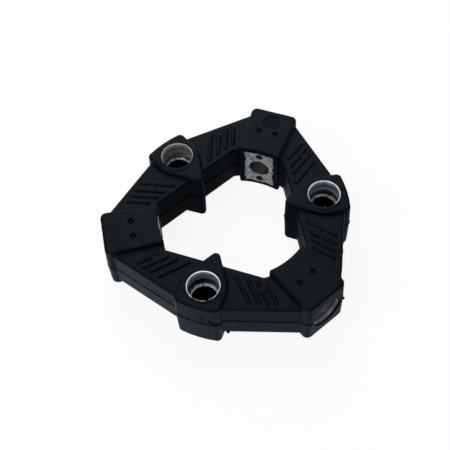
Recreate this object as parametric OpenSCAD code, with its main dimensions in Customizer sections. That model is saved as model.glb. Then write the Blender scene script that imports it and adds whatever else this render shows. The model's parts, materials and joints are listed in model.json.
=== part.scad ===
// Flexible rubber coupling ring.
// One rubber moulding holds three axial and three radial metal bushes, set in turn every 60 degrees.
// The axial bushes bolt to a flange or flywheel, the radial bushes bolt to a round hub inside the ring.
// Frame: origin on the ring's axis at the lower ends of the axial bushes, +Z up, first axial bush on +X.

/* [Ring] */
// Pitch circle diameter of the axial bushes
axial_pcd = 80; // [76:0.5:90]
// Length of the axial bushes
height = 28; // [27:0.5:34]
// Height of the radial blocks, from the bushes' upper ends down
block_h = 25.3; // [24.5:0.1:26.8]
// Radius of the round hub that the radial blocks sit on
hub_r = 33.9; // [32:0.1:36]

/* [Axial bushes] */
// Counterbore diameter for the screw head
axial_head_d = 13.5; // [12:0.1:15]
// Metal wall around the counterbore
axial_sleeve = 0.95; // [0.8:0.05:1.6]
// Depth of the counterbore, from the top end
axial_head_depth = 9.6; // [4:0.1:14]
// Through hole diameter for the screw
axial_hole_d = 9.4; // [8:0.1:11]

/* [Radial bushes] */
// Counterbore diameter for the screw head, open to the outside
radial_head_d = 13.5; // [12:0.1:15]
// Metal wall around the counterbore
radial_sleeve = 0.95; // [0.8:0.05:1.6]
// Metal left under the screw head, from the hub to the ledge
radial_seat = 9; // [6:0.1:12]
// Through hole diameter for the screw
radial_hole_d = 9.4; // [8:0.1:11]
// How far the barrel's end lies behind the block's outer face
barrel_recess = 1; // [0.4:0.1:3]
// Width of the foot plate that rests on the hub
foot_w = 14.2; // [13:0.1:17]
// Height of the foot plate
foot_h = 21.4; // [20:0.1:23]
// Thickness of the foot plate at its middle
foot_t = 3; // [2:0.1:5]
// Corner radius of the foot plate
foot_round = 1.2; // [0.4:0.1:3]
// Diameter of the two pin holes in the foot plate
pin_hole_d = 3.4; // [2:0.1:3.6]
// Distance from the middle of the plate to each pin hole
pin_hole_offset = 8; // [7.6:0.1:8.4]
// Depth of the pin holes
pin_hole_depth = 2.2; // [1:0.1:2.4]

/* [Metal edges] */
// Chamfer on the bush ends and hole mouths
edge_chamfer = 0.3; // [0.1:0.05:0.6]

/* [Axial blocks] */
// Rubber wall around an axial bush
axial_wall = 2.6; // [2.2:0.1:3.6]
// How far the rubber lies below the bush ends
axial_setback = 0.25; // [0.1:0.05:1]
// Radius of the ring's outer face at the axial blocks
axial_outer_r = 50.8; // [50:0.1:54]
// Corner radius at the outer face
axial_corner = 2.6; // [1.5:0.1:4]
// Distance from the ring's axis to the tip of the nose
nose_tip = 22.3; // [20:0.1:24]
// Radius of the nose
nose_round = 2.4; // [1.8:0.1:4]

/* [Radial blocks] */
// Distance from the ring's axis to the outer face of a radial block
radial_face = 58.6; // [57:0.1:61]
// Half width near the outer face
radial_half_outer = 11.3; // [10.5:0.1:12.5]
// Half width at the hub
radial_half_inner = 9.9; // [9.2:0.1:10.8]
// Corner radius at the outer face
radial_corner = 3; // [1.5:0.1:4]
// Corner radius at the hub
radial_inner_corner = 2; // [1.5:0.1:3]
// Diameter of the pits left by the mould pins that held the bush
pit_d = 2.8; // [1.5:0.1:3]
// Depth of the pits
pit_depth = 1.2; // [0.6:0.1:2]
// Distance from the ring's axis to the pits
pit_r = 45.3; // [42:0.1:50]
// Distance of each pit from the middle of the block
pit_offset = 3.85; // [2.5:0.05:5]
// Diameter of the plain round insert mark on the top of one block
mark_d = 8; // [5:0.1:10]
// Distance from the ring's axis to that mark
mark_r = 52; // [50.5:0.1:52.5]
// Depth of that mark
mark_depth = 0.25; // [0.1:0.05:0.5]

/* [Arms] */
// How far the arms lie behind the ends of the radial blocks
arm_drop = 2.5; // [1.8:0.1:4]
// Distance from the ring's axis to the inner edge of an arm
arm_inner = 26.5; // [25:0.1:27.5]
// Distance from the ring's axis to the outer edge line of an arm
arm_outer = 48; // [47:0.1:48.3]
// Angle of the outer edge from the inner edge
arm_angle = 17; // [14:0.5:20]
// How far an arm runs into the side of a radial block
arm_bury = 1.6; // [0.8:0.1:2]
// Length of the rubber that fills the corner between an arm's inner edge and a radial block
corner_fill = 3.4; // [1:0.1:4]

/* [Ribs] */
// Ribs on each face of an arm
rib_count = 4; // [2:1:4]
// Width of a half round rib
rib_w = 2.1; // [1.4:0.1:2.4]
// Height of a rib above the arm
rib_h = 0.85; // [0.5:0.05:1]
// Angle of the ribs from the axial block's radius
rib_angle = 43; // [38:1:46]
// Distance of the first rib's inner tip from the axial block's radius
rib_start = 10; // [9:0.1:11]
// Step from the first rib to the second
rib_lead = 5.2; // [4:0.1:6]
// Step between the other ribs
rib_pitch = 4.4; // [3.5:0.1:4.5]
// Distance from the rib tips to the edges of the arm
rib_margin = 2.8; // [2.4:0.1:4]
// Diameter of the flat vent spot by one rib of each arm
vent_d = 3.5; // [2.2:0.1:4]
// Height of the vent spot above the arm
vent_h = 0.6; // [0.2:0.05:0.7]

/* [Moulding] */
// Draft of the rubber's sides, widest at the parting line
draft = 1.5; // [0.5:0.25:3]
// Rounding of the rubber's edges
edge_round = 0.7; // [0.3:0.05:1]

/* [Hidden] */
$fn = 64;
rubber = "#1c2127";
metal = "#b4b6b8";
sets = 3;
axial_angles = [for (k = [0:sets - 1]) 360 / sets * k];
radial_angles = [for (k = [0:sets - 1]) 360 / sets * (k + 0.5)];
mid = height - block_h / 2;
axial_r = axial_pcd / 2;
axial_od = axial_head_d + 2 * axial_sleeve;
radial_od = radial_head_d + 2 * radial_sleeve;
axial_half = axial_od / 2 + axial_wall;
barrel_end = radial_face - barrel_recess;
ledge_r = hub_r + radial_seat;
foot_back = hub_r + foot_t;
axial_up = height - axial_setback - mid;
axial_down = mid - axial_setback;
arm_half_h = block_h / 2 - arm_drop;
block_step = 360 / sets / 2;
// Slope of a radial block's sides
radial_lean = atan2(radial_half_outer - radial_half_inner, radial_face - hub_r + radial_inner_corner);
// Points on each rounded corner and steps on each rounded edge
corner_steps = 6;
edge_steps = 3;
// Angle from the nose's tip to the first outline point on each side of it
nose_gap = 5;
// Overlap that lets a cut pass a face
past = 1;
// Rib radius from its width and height
rib_r = (pow(rib_w / 2, 2) + rib_h * rib_h) / (2 * rib_h);
// Place of the vent spot on each arm: rib, distance along it from its inner tip, distance beside it
vents = [[2, 4, 0.6], [2, 4.6, 1.2], [1, 10, 0.9], [1, 2.5, -0.8], [1, 6, -1.2], [1, 10.6, -0.3]];
// Block that has the plain round insert mark
mark_block = 1;

// Heights and insets from the parting line to one end of a moulded form: a drafted side, then a round edge.
function mould_side(reach) = let (flat = reach - edge_round, lean = flat * tan(draft)) [
    for (k = [0:edge_steps]) let (a = 90 * k / edge_steps)
        [flat + edge_round * sin(a), lean + edge_round * (1 - cos(a))]
];

function mould_levels(up, down) = let (low = mould_side(down)) concat(
    [for (k = [edge_steps:-1:0]) [-low[k][0], low[k][1]]],
    [[0, 0]],
    mould_side(up)
);

// Points on an arc from angle a to angle b.
function arc(centre, r, a, b, steps = corner_steps) = [
    for (k = [0:steps]) let (t = a + (b - a) * k / steps) centre + r * [cos(t), sin(t)]
];

function mirrored(points) = [for (k = [len(points) - 1:-1:0]) [points[k].x, -points[k].y]];

// Half of an axial block's outline: outer face, corner, side round the bush, then the nose.
function axial_half_outline(inset) = let (
    half = axial_half - inset,
    corner = axial_corner - inset,
    nose = nose_round - inset,
    outer = axial_outer_r - inset,
    nose_x = nose_tip + nose_round,
    lean = asin((half - nose) / (axial_r - nose_x)),
    corner_y = half - corner,
    corner_x = sqrt(pow(outer - corner, 2) - corner_y * corner_y),
    swing = atan2(corner_y, corner_x)
) concat(
    arc([0, 0], outer, swing / 4, swing * 3 / 4, 2),
    arc([corner_x, corner_y], corner, swing, 90),
    arc([axial_r, 0], half, 90, 90 + lean),
    arc([nose_x, 0], nose, 90 + lean, 180 - nose_gap)
);

function axial_outline(inset) = let (half = axial_half_outline(inset)) concat(half, mirrored(half));

// Half width of a radial block at a distance from the ring's axis.
function radial_side(x) = radial_half_inner + (x - hub_r + radial_inner_corner) * tan(radial_lean);

// Half of a radial block's outline: a wedge with round corners, before the hub is cut out of it.
function radial_half_outline(inset) = let (
    outer_x = radial_face - radial_corner,
    outer_y = radial_side(outer_x) - radial_corner / cos(radial_lean),
    inner_y = radial_side(hub_r) - radial_inner_corner / cos(radial_lean)
) concat(
    arc([outer_x, outer_y], radial_corner - inset, 0, 90 + radial_lean),
    arc([hub_r, inner_y], radial_inner_corner - inset, 90 + radial_lean, 180)
);

function radial_outline(inset) = let (half = radial_half_outline(inset)) concat(half, mirrored(half));

// Both arms of an axial block: a flat wing from one radial block to the next.
function wing_outline(inset) = let (
    end_angle = block_step,
    end_y = (radial_half_outer + radial_half_inner) / 2 - arm_bury,
    inner = arm_inner + inset,
    outer = arm_outer - inset,
    inner_end = meet(0, inner, end_angle, end_y),
    outer_end = meet(arm_angle, outer, end_angle, end_y),
    tip = [outer / cos(arm_angle), 0]
) [tip, outer_end, inner_end, [inner_end.x, -inner_end.y], [outer_end.x, -outer_end.y]];

// Where a line at distance d and normal angle a meets the line beside a radius at angle b.
function meet(a, d, b, beside) = let (
    n = [cos(a), sin(a)],
    along = [cos(b), sin(b)],
    start = beside * [sin(b), -cos(b)]
) start + along * ((d - n * start) / (n * along));

// Solid through rings of points, one ring for each level.
module loft(rings, levels) {
    count = len(rings[0]);
    points = [for (k = [0:len(levels) - 1]) for (p = rings[k]) [p.x, p.y, levels[k][0]]];
    last = (len(levels) - 1) * count;
    sides = [for (k = [0:len(levels) - 2]) for (j = [0:count - 1]) let (n = (j + 1) % count)
        [k * count + j, (k + 1) * count + j, (k + 1) * count + n, k * count + n]];
    polyhedron(points, concat(
        [[for (j = [0:count - 1]) j]],
        sides,
        [[for (j = [count - 1:-1:0]) last + j]]
    ));
}

module axial_block() {
    levels = mould_levels(axial_up, axial_down);
    loft([for (l = levels) axial_outline(l[1])], levels);
}

// Rubber in the narrow corner between a radial block's side and an arm's inner edge.
module corner_web() {
    rise = cos(block_step) + sin(block_step) * tan(radial_lean);
    corner_x = (arm_inner - sin(block_step) * radial_side(0)) / rise;
    corner = [corner_x, radial_side(corner_x)];
    inward = past * [cos(block_step), sin(block_step)];
    tip = corner + corner_fill * [-sin(block_step), cos(block_step)];
    linear_extrude(2 * (arm_half_h - edge_round), center = true)
        polygon([tip, [hub_r, radial_side(hub_r)], corner - [0, past], corner + inward, tip + inward]);
}

module radial_block() {
    levels = mould_levels(block_h / 2, block_h / 2);
    difference() {
        union() {
            loft([for (l = levels) radial_outline(l[1])], levels);
            for (side = [0, 1])
                mirror([0, side, 0])
                    corner_web();
        }
        cylinder(r = hub_r, h = height + 2 * past, center = true);
    }
}

module wing() {
    levels = mould_levels(arm_half_h, arm_half_h);
    loft([for (l = levels) wing_outline(l[1])], levels);
}

// Inner and outer tip of rib k on the arm that runs towards +Y.
function rib_tips(k) = let (
    inner = [
        arm_inner + rib_margin,
        rib_start + (k > 0 ? rib_lead + (k - 1) * rib_pitch : 0)
    ],
    along = [cos(rib_angle), sin(rib_angle)],
    n = [cos(arm_angle), sin(arm_angle)],
    reach = (arm_outer - rib_margin - n * inner) / (n * along)
) [inner + along * rib_w / 2, inner + along * (reach - rib_w / 2)];

// A bar with round ends, its axis along +X from the origin.
module round_bar(length, r) {
    rotate([0, 90, 0])
        rotate_extrude()
            intersection() {
                union() {
                    circle(r = r);
                    translate([-r, 0])
                        square([2 * r, length]);
                    translate([0, length])
                        circle(r = r);
                }
                translate([0, -r])
                    square([r, length + 2 * r]);
            }
}

// The ribs of one arm on one face.
module arm_ribs() {
    for (k = [0:rib_count - 1]) {
        tips = rib_tips(k);
        run = tips[1] - tips[0];
        translate([tips[0].x, tips[0].y, arm_half_h + rib_h - rib_r])
            rotate([0, 0, atan2(run.y, run.x)])
                round_bar(norm(run), rib_r);
    }
}

function vent_place(arm) = let (
    spot = vents[arm],
    tip = rib_tips(min(spot[0], rib_count - 1))[0]
) tip + spot[1] * [cos(rib_angle), sin(rib_angle)] + spot[2] * [-sin(rib_angle), cos(rib_angle)];

// Two arms' ribs on both faces, with a flat vent spot by one rib of each arm on the upper face.
module wing_ribs(set) {
    for (side = [0, 1]) {
        place = vent_place(2 * set + side);
        mirror([0, side, 0]) {
            difference() {
                arm_ribs();
                translate([place.x, place.y, arm_half_h + vent_h])
                    cylinder(d = vent_d, h = rib_r + past);
            }
            translate([place.x, place.y, arm_half_h - past])
                cylinder(d = vent_d, h = past + vent_h);
            mirror([0, 0, 1])
                arm_ribs();
        }
    }
}

// Shallow pits on both faces, where mould pins held the bush.
module pin_pits() {
    for (side = [-1, 1], face = [0, 1])
        mirror([0, 0, face])
            translate([pit_r, side * pit_offset, block_h / 2 - pit_depth])
                cylinder(d = pit_d, h = pit_depth + past);
}

module rubber_body() {
    color(rubber)
        translate([0, 0, mid])
            difference() {
                union() {
                    for (set = [0:sets - 1]) {
                        rotate(axial_angles[set]) {
                            axial_block();
                            wing();
                            wing_ribs(set);
                        }
                        rotate(radial_angles[set])
                            radial_block();
                    }
                }
                for (a = axial_angles)
                    rotate(a)
                        translate([axial_r, 0, 0])
                            cylinder(d = axial_od, h = 2 * (height + past), center = true);
                for (a = radial_angles)
                    rotate(a) {
                        translate([ledge_r, 0, 0])
                            rotate([0, 90, 0])
                                cylinder(d = radial_od, h = radial_face - ledge_r + past);
                        bush_form();
                        pin_pits();
                    }
                rotate(radial_angles[mark_block])
                    translate([mark_r, 0, block_h / 2 - mark_depth])
                        cylinder(d = mark_d, h = mark_depth + past);
            }
}

// An axial bush: a turned sleeve with a sunk seat for a socket head screw.
module axial_bush(set) {
    outer = axial_od / 2;
    head = axial_head_d / 2;
    hole = axial_hole_d / 2;
    ledge = height - axial_head_depth;
    c = edge_chamfer;
    color(metal)
        rotate(axial_angles[set])
            translate([axial_r, 0, 0])
                rotate_extrude()
                    polygon([
                        [hole + c, 0], [outer - c, 0], [outer, c], [outer, height - c], [outer - c, height],
                        [head + c, height], [head, height - c], [head, ledge], [hole + c, ledge],
                        [hole, ledge - c], [hole, c]
                    ]);
}

// Flat outline of the foot plate, with round corners.
module foot_outline() {
    w = foot_w - 2 * foot_round;
    h = foot_h - 2 * foot_round;
    square([h, foot_w], center = true);
    square([foot_h, w], center = true);
    for (x = [-h / 2, h / 2], y = [-w / 2, w / 2])
        translate([x, y])
            circle(r = foot_round);
}

// Outside form of a radial bush along +X, before the hub is cut out of it: a barrel that rises from the foot plate.
module bush_form() {
    reach = sqrt(hub_r * hub_r - foot_w * foot_w / 4) - past;
    root = hub_r + foot_t / 2;
    translate([root, 0, 0])
        rotate([0, 90, 0])
            cylinder(d = radial_od, h = barrel_end - root);
    translate([reach, 0, 0])
        rotate([0, 90, 0])
            linear_extrude(foot_back - reach)
                foot_outline();
}

// A radial bush: a barrel open to the outside, on a foot plate that fits the hub.
module radial_bush(set) {
    color(metal)
        translate([0, 0, mid])
            rotate(radial_angles[set])
                difference() {
                    bush_form();
                    cylinder(r = hub_r, h = height + 2 * past, center = true);
                    rotate([0, 90, 0])
                        cylinder(d = radial_hole_d, h = radial_face);
                    translate([ledge_r, 0, 0])
                        rotate([0, 90, 0])
                            cylinder(d = radial_head_d, h = radial_face);
                    translate([ledge_r - edge_chamfer, 0, 0])
                        rotate([0, 90, 0])
                            cylinder(d1 = radial_hole_d, d2 = radial_hole_d + 2 * edge_chamfer, h = edge_chamfer);
                    for (side = [-1, 1])
                        translate([hub_r - past, 0, side * pin_hole_offset])
                            rotate([0, 90, 0])
                                cylinder(d = pin_hole_d, h = past + pin_hole_depth);
                }
}

rubber_body();
axial_bush(0);  // axial_bush_1
axial_bush(1);  // axial_bush_2
axial_bush(2);  // axial_bush_3
radial_bush(0);  // radial_bush_1
radial_bush(1);  // radial_bush_2
radial_bush(2);  // radial_bush_3
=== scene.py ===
# %% [markdown]
# # A flexible rubber coupling
# This ring joins an engine's flywheel to a round hub. Three metal bushes stand along the ring's axis
# and take the flywheel's screws. Three more point inwards and take the hub's screws. The rubber between
# them carries the load and gives a little, so that the two shafts need not be in perfect line. The
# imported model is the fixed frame: it gives every place and size that the pieces below have to keep.

# %% Load the frame
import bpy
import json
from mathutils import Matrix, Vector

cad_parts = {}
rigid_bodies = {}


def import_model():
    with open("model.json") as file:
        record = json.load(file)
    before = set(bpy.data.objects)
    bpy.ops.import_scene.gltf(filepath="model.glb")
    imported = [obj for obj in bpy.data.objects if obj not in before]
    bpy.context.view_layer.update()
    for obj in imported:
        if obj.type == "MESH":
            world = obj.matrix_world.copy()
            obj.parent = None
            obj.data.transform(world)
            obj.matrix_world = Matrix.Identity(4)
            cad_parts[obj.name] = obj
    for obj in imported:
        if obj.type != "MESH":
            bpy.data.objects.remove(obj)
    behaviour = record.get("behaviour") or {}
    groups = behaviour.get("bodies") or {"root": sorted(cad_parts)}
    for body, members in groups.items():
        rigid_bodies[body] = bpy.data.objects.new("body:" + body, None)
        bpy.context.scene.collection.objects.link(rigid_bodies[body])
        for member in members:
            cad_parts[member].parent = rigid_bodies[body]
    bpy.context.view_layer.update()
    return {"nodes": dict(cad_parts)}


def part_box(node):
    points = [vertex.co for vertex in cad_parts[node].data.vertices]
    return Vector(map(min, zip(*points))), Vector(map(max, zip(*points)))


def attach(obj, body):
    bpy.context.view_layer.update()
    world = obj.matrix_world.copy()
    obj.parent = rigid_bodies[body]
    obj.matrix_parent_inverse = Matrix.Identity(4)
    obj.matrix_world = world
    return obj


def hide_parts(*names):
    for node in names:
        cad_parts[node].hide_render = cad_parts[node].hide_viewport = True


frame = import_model()

import json
from math import atan2, cos, pi, radians, sin, sqrt, tan

import bmesh
import bpy
from mathutils import Quaternion, Vector

MM = 0.001
for name in sorted(frame["nodes"]):
    low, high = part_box(name)
    print(name, "size in mm", [round((b - a) / MM, 2) for a, b in zip(low, high)])

# %% [markdown]
# ## The camera
# The photograph looks down on the ring from one side, from about 40 cm away. An aim point, two angles
# and a distance place the camera, and a small roll turns the picture. The lens is worked out for a
# square picture. The camera comes first, because every later render is judged through it.

# %% Camera
CAMERA_AIM = Vector((8.68, -1.41, 28.0)) * MM
CAMERA_AZIMUTH = radians(22.97)
CAMERA_ELEVATION = radians(56.57)
CAMERA_DISTANCE = 399.9 * MM
CAMERA_ROLL = radians(-4.26)
CAMERA_LENS = 74.18


def direction(azimuth, elevation):
    """Unit vector towards an azimuth, counted from +X, and an elevation."""
    flat = cos(elevation)
    return Vector((flat * cos(azimuth), flat * sin(azimuth), sin(elevation)))


def look_along(way):
    """Rotation of a camera or lamp that looks along a vector."""
    return way.to_track_quat("-Z", "Y")


camera_data = bpy.data.cameras.new("camera")
camera_data.lens = CAMERA_LENS
camera_data.clip_start = 0.01
camera = bpy.data.objects.new("camera", camera_data)
bpy.context.scene.collection.objects.link(camera)
bpy.context.scene.camera = camera
towards = direction(CAMERA_AZIMUTH, CAMERA_ELEVATION)
camera.location = CAMERA_AIM + towards * CAMERA_DISTANCE
camera.rotation_mode = "QUATERNION"
camera.rotation_quaternion = look_along(-towards) @ Quaternion((0, 0, 1), CAMERA_ROLL)
print("camera at", [round(v, 4) for v in camera.location])

# %% [markdown]
# ## How the pieces are modelled
# Each piece is drawn in millimetres, with the mould's parting plane at height 0, because Blender's
# tools have tolerances that suit such numbers. When a piece is done, it is lifted to its height and
# scaled to metres, and the change is applied, so that its object sits at the origin and its place is in
# its mesh. The helpers below do what a hand would do: clear the selection, add a modifier and apply it,
# cut with a tool, and merge the points that a cut leaves on each other.

# %% Modelling helpers
radial_low, radial_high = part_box("radial_bush_2")
PARTING_Z = (radial_low.z + radial_high.z) / 2 / MM
SAME_POINT = 0.001


def clear_selection():
    """Object mode with nothing selected, so that the next operator touches only what is meant."""
    if bpy.context.object and bpy.context.object.mode != "OBJECT":
        bpy.ops.object.mode_set(mode="OBJECT")
    bpy.ops.object.select_all(action="DESELECT")


def take(piece):
    """Select one piece alone and make it active."""
    clear_selection()
    piece.select_set(True)
    bpy.context.view_layer.objects.active = piece


def apply_modifier(piece, kind, **settings):
    """Add a modifier to a piece, set it and apply it."""
    take(piece)
    modifier = piece.modifiers.new(kind.title(), kind)
    for name, value in settings.items():
        setattr(modifier, name, value)
    bpy.ops.object.modifier_apply(modifier=modifier.name)


def combine(piece, tool, operation):
    """Cut a tool out of a piece, or weld it on, and throw the tool away."""
    apply_modifier(piece, "BOOLEAN", operation=operation, object=tool, solver="MANIFOLD")
    bpy.data.objects.remove(tool)


def one_skin(piece):
    """Merge points that lie on each other and drop loose crumbs that cuts leave, so that one skin stays."""
    take(piece)
    bpy.ops.object.mode_set(mode="EDIT")
    bpy.ops.mesh.select_all(action="SELECT")
    bpy.ops.mesh.remove_doubles(threshold=SAME_POINT)
    bpy.ops.object.mode_set(mode="OBJECT")
    others = set(bpy.data.objects) - {piece}
    bpy.ops.mesh.separate(type="LOOSE")
    parts = sorted(set(bpy.data.objects) - others, key=lambda part: len(part.data.polygons))
    name = piece.name
    for crumb in parts[:-1]:
        bpy.data.objects.remove(crumb)
    parts[-1].name = name
    return parts[-1]


def gather(pieces):
    """Join pieces that stand apart from each other, so that one cut or weld does for all."""
    clear_selection()
    for piece in pieces:
        piece.select_set(True)
    bpy.context.view_layer.objects.active = pieces[0]
    bpy.ops.object.join()
    return pieces[0]


def start_edit():
    """After a first primitive: put its place into its mesh and go on in edit mode."""
    if bpy.context.object.mode == "OBJECT":
        bpy.ops.object.transform_apply()
        bpy.ops.object.mode_set(mode="EDIT")


def end_edit(name):
    """Leave edit mode and name the piece."""
    bpy.ops.object.mode_set(mode="OBJECT")
    piece = bpy.context.object
    piece.name = name
    return piece


def rod(radius, length, place, way=(0, 0, 1), sides=96):
    """A round rod as a cutting tool, its middle at a place and its axis along a vector."""
    clear_selection()
    turn = Vector(way).to_track_quat("Z", "Y").to_euler()
    bpy.ops.mesh.primitive_cylinder_add(
        vertices=sides, radius=radius, depth=length, location=place, rotation=turn)
    bpy.ops.object.transform_apply()
    return bpy.context.object


def turned(piece, angle):
    """Turn a piece's mesh about the ring's axis."""
    take(piece)
    bpy.ops.object.mode_set(mode="EDIT")
    bpy.ops.mesh.select_all(action="SELECT")
    bpy.ops.transform.rotate(value=-angle, orient_axis="Z", center_override=(0, 0, 0))
    bpy.ops.object.mode_set(mode="OBJECT")
    return piece


def to_frame(piece):
    """Lift a finished piece from the parting plane to its height, and go from millimetres to metres."""
    take(piece)
    piece.location.z = PARTING_Z * MM
    piece.scale = (MM, MM, MM)
    bpy.ops.object.transform_apply()
    return piece


print("parting plane at", round(PARTING_Z, 3), "mm")

# %% [markdown]
# ## Rubber blocks and arms
# The rubber is one moulding: a block round each bush, and flat arms between the blocks. Each of these
# forms is convex, and its sides lean in from the parting plane, so that the mould could open. A convex
# form needs only its corners: round posts that taper both ways go where the corners are, and a convex
# hull is drawn over them. That keeps the round corners and the draft without a single hand-placed face.

# %% Blocks and arms over posts
DRAFT = radians(1.5)
EDGE_ROUND = 0.7
POST_SIDES = 40
NEAR = 0.01
NEARLY_FLAT = radians(0.2)

axial_low, axial_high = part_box("axial_bush_1")
rubber_low, rubber_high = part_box("rubber_body")
PITCH_R = (axial_low.x + axial_high.x) / 2 / MM
BUSH_R = (axial_high.y - axial_low.y) / 2 / MM
AXIAL_LOWER = 0.25
AXIAL_UP = rubber_high.z / MM - AXIAL_LOWER - PARTING_Z
AXIAL_DOWN = PARTING_Z - rubber_low.z / MM
BLOCK_HALF = rubber_high.z / MM - PARTING_Z
RADIAL_FACE = -rubber_low.x / MM
AXIAL_WALL = 2.6
AXIAL_HALF = BUSH_R + AXIAL_WALL
AXIAL_OUTER_R = 50.8
AXIAL_CORNER = 2.6
NOSE_TIP = 22.3
NOSE_ROUND = 2.4
HUB_R = 33.9
RADIAL_HALF_OUTER = 11.3
RADIAL_HALF_INNER = 9.9
RADIAL_CORNER = 3.0
RADIAL_INNER_CORNER = 2.0
ARM_STEP = 2.5
ARM_HALF = BLOCK_HALF - ARM_STEP
ARM_INNER = 26.5
ARM_OUTER = 48.0
ARM_ANGLE = radians(17)
ARM_BURY = 1.6
ARM_POST = 0.9
CORNER_FILL = 3.4
WEB_POST = 0.4
SIXTH = pi / 3


def hull_over(posts, up, down):
    """Convex block over round posts (x, y, radius) that taper from the parting plane to both ends."""
    clear_selection()
    for x, y, radius in posts:
        for low_z, high_z in ((0, up), (-down, 0)):
            radius_low = radius + low_z * tan(DRAFT)
            radius_high = radius - high_z * tan(DRAFT)
            bpy.ops.mesh.primitive_cone_add(
                vertices=POST_SIDES, radius1=radius_low, radius2=radius_high, depth=high_z - low_z,
                location=(x, y, (low_z + high_z) / 2))
            start_edit()
    bpy.ops.mesh.select_all(action="SELECT")
    bpy.ops.mesh.convex_hull()
    bpy.ops.mesh.select_all(action="SELECT")
    bpy.ops.mesh.remove_doubles(threshold=NEAR)
    bpy.ops.mesh.dissolve_limited(angle_limit=NEARLY_FLAT)


def round_rims(up, down):
    """Round the edges of the top and bottom faces of the block in edit mode."""
    bpy.ops.mesh.select_mode(type="EDGE")
    mesh = bmesh.from_edit_mesh(bpy.context.object.data)
    for edge in mesh.edges:
        heights = [v.co.z for v in edge.verts]
        edge.select_set(min(heights) > up - NEAR or max(heights) < NEAR - down)
    mesh.select_flush_mode()
    bmesh.update_edit_mesh(bpy.context.object.data)
    bpy.ops.mesh.bevel(offset=EDGE_ROUND, segments=4, affect="EDGES")


def moulded_block(name, posts, up, down):
    """One block or arm of the moulding, with round edges where its posts leave room for them."""
    hull_over(posts, up, down)
    if min(radius for x, y, radius in posts) > EDGE_ROUND:
        round_rims(up, down)
    return end_edit(name)


def axial_posts():
    """Corners of an axial block on +X: a bowed outer face, the round of the bush, and the nose."""
    row = AXIAL_OUTER_R - AXIAL_CORNER
    corner_y = AXIAL_HALF - AXIAL_CORNER
    swing = atan2(corner_y, sqrt(row ** 2 - corner_y ** 2))
    face = [(row * cos(swing * k / 2), row * sin(swing * k / 2), AXIAL_CORNER) for k in range(-2, 3)]
    return face + [(PITCH_R, 0, AXIAL_HALF), (NOSE_TIP + NOSE_ROUND, 0, NOSE_ROUND)]


def radial_posts():
    """Corners of a radial block on +X: a wedge, wider at its outer face."""
    spread = sqrt(1 + (radial_side(1) - radial_side(0)) ** 2)
    posts = []
    for x, radius in ((RADIAL_FACE - RADIAL_CORNER, RADIAL_CORNER), (HUB_R, RADIAL_INNER_CORNER)):
        y = radial_side(x) - radius * spread
        posts += [(x, y, radius), (x, -y, radius)]
    return posts


def radial_side(x):
    """Half width of a radial block at a distance from the ring's axis."""
    inner_x = HUB_R - RADIAL_INNER_CORNER
    slope = (RADIAL_HALF_OUTER - RADIAL_HALF_INNER) / (RADIAL_FACE - inner_x)
    return RADIAL_HALF_INNER + (x - inner_x) * slope


def web_posts(side):
    """Corners of the rubber that fills the narrow corner between a radial block on +X and an arm."""
    slope = radial_side(1) - radial_side(0)
    corner_x = (ARM_INNER - sin(SIXTH) * radial_side(0)) / (cos(SIXTH) + sin(SIXTH) * slope)
    corner = Vector((corner_x, radial_side(corner_x)))
    tip = corner + CORNER_FILL * Vector((-sin(SIXTH), cos(SIXTH)))
    heel = Vector((HUB_R, radial_side(HUB_R)))
    inset = WEB_POST * Vector((cos(SIXTH), sin(SIXTH)))
    return [(x, side * y, WEB_POST) for x, y in (tip + inset, heel, corner + inset)]


def where_lines_meet(normal_angle, distance, radius_angle, beside):
    """Point on the line at a distance from the axis that also lies beside a radius."""
    normal = Vector((cos(normal_angle), sin(normal_angle)))
    along = Vector((cos(radius_angle), sin(radius_angle)))
    start = beside * Vector((sin(radius_angle), -cos(radius_angle)))
    return start + along * ((distance - normal.dot(start)) / normal.dot(along))


def wing_posts():
    """Corners of the flat wing that makes both arms of the axial block on +X."""
    end_y = (RADIAL_HALF_OUTER + RADIAL_HALF_INNER) / 2 - ARM_BURY
    inner = where_lines_meet(0, ARM_INNER + ARM_POST, SIXTH, end_y)
    outer = where_lines_meet(ARM_ANGLE, ARM_OUTER - ARM_POST, SIXTH, end_y)
    tip = (ARM_OUTER - ARM_POST) / cos(ARM_ANGLE)
    corners = [(tip, 0), (outer.x, outer.y), (inner.x, inner.y), (inner.x, -inner.y), (outer.x, -outer.y)]
    return [(x, y, ARM_POST) for x, y in corners]


axial_block = moulded_block("axial_block", axial_posts(), AXIAL_UP, AXIAL_DOWN)
radial_block = moulded_block("radial_block", radial_posts(), BLOCK_HALF, BLOCK_HALF)
wing = moulded_block("wing", wing_posts(), ARM_HALF, ARM_HALF)
combine(radial_block, rod(HUB_R, 4 * BLOCK_HALF, (0, 0, 0), sides=256), "DIFFERENCE")
turned(radial_block, SIXTH)
webs = [turned(moulded_block("web", web_posts(side), ARM_HALF, ARM_HALF), SIXTH) for side in (1, -1)]
print("faces", [len(piece.data.polygons) for piece in (axial_block, radial_block, wing)])

# %% [markdown]
# ## Ribs
# Four half-round ribs cross each arm on both faces. They show where the rubber is thickest under load
# and help the mould to fill. A rib is two balls with a hull drawn over them: a bar with round ends,
# sunk in the arm until only its rounded back stands out. It waits until the arm's skin is done, so that
# its foot stays crisp.

# %% Ribs
RIB_COUNT = 4
RIB_W = 2.1
RIB_H = 0.85
RIB_R = ((RIB_W / 2) ** 2 + RIB_H ** 2) / (2 * RIB_H)
RIB_ANGLE = radians(43)
RIB_START = 10.0
RIB_LEAD = 5.2
RIB_PITCH = 4.4
RIB_MARGIN = 2.8


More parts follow.
